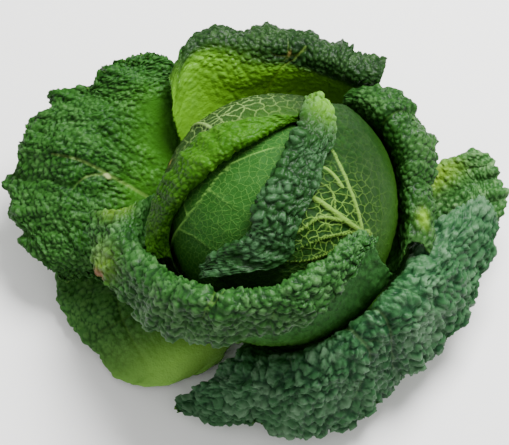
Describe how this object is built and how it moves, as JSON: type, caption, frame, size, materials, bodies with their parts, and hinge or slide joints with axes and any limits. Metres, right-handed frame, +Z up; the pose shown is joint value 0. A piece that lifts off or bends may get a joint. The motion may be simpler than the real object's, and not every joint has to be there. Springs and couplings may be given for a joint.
{
  "type": "savoy cabbage",
  "caption": "Round crinkled cabbage head on a flat cut stem, with rolled wrapper leaves and wide puckered outer leaves spread round it.",
  "frame": {"origin": "centre of the flat cut face of the stem, which the cabbage rests on", "axes": "+Z up through the head; -Y to the front, where the outer leaves part; +X to the right"},
  "size_m": [0.3336, 0.2553, 0.1747],
  "materials": {
    "stem": "cut stem, pale and matt",
    "heart_leaf": "pale yellow-green leaf",
    "head_leaf": "green leaf, pale raised net of veins",
    "young_leaf": "bright yellow-green leaf",
    "wrapper_leaf": "deep green puckered leaf, light wax",
    "outer_leaf": "dark blue-green puckered leaf, waxy bloom"
  },
  "bodies": {
    "root": {"stump": "stem", "heart": "heart_leaf", "head_leaf_left": "head_leaf", "head_leaf_back": "young_leaf", "head_leaf_right": "head_leaf", "wrapper_leaf_front": "wrapper_leaf", "wrapper_leaf_back": "young_leaf", "wrapper_leaf_right": "wrapper_leaf", "outer_leaf_left": "outer_leaf", "outer_leaf_front_left": "outer_leaf", "outer_leaf_front_right": "outer_leaf", "outer_leaf_right": "outer_leaf"}
  },
  "joints": []
}
